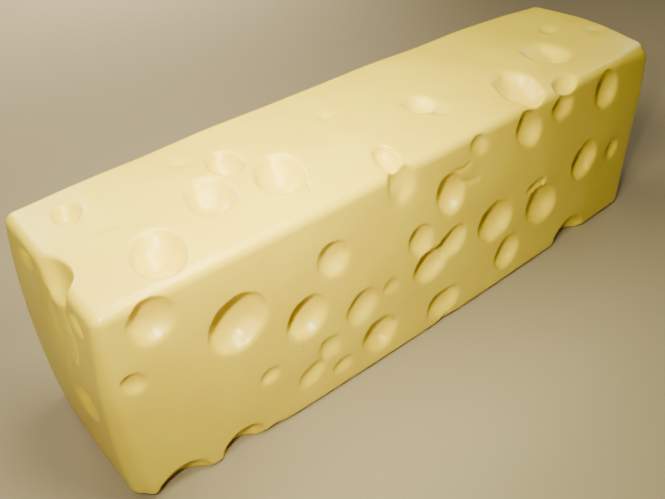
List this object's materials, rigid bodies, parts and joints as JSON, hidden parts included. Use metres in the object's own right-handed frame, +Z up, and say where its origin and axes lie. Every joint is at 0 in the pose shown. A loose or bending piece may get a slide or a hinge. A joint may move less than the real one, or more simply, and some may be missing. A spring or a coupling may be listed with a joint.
{
  "type": "imitation emmental cheese block",
  "caption": "Long rectangular block of moulded imitation emmental cheese, with softly rolled edges and round dished eyes on every side, resting on one long narrow side.",
  "frame": {"origin": "centre of the block's box, at its flat base", "axes": "+X along the block's length, away from the end with the scooped top edge; -Y out of the front long face; +Z up"},
  "size_m": [0.3132, 0.079, 0.1032],
  "materials": {
    "cheese": "cream yellow moulded skin, satin to semi-gloss, slightly translucent"
  },
  "bodies": {
    "root": {"cheese_block": "cheese"}
  },
  "joints": []
}
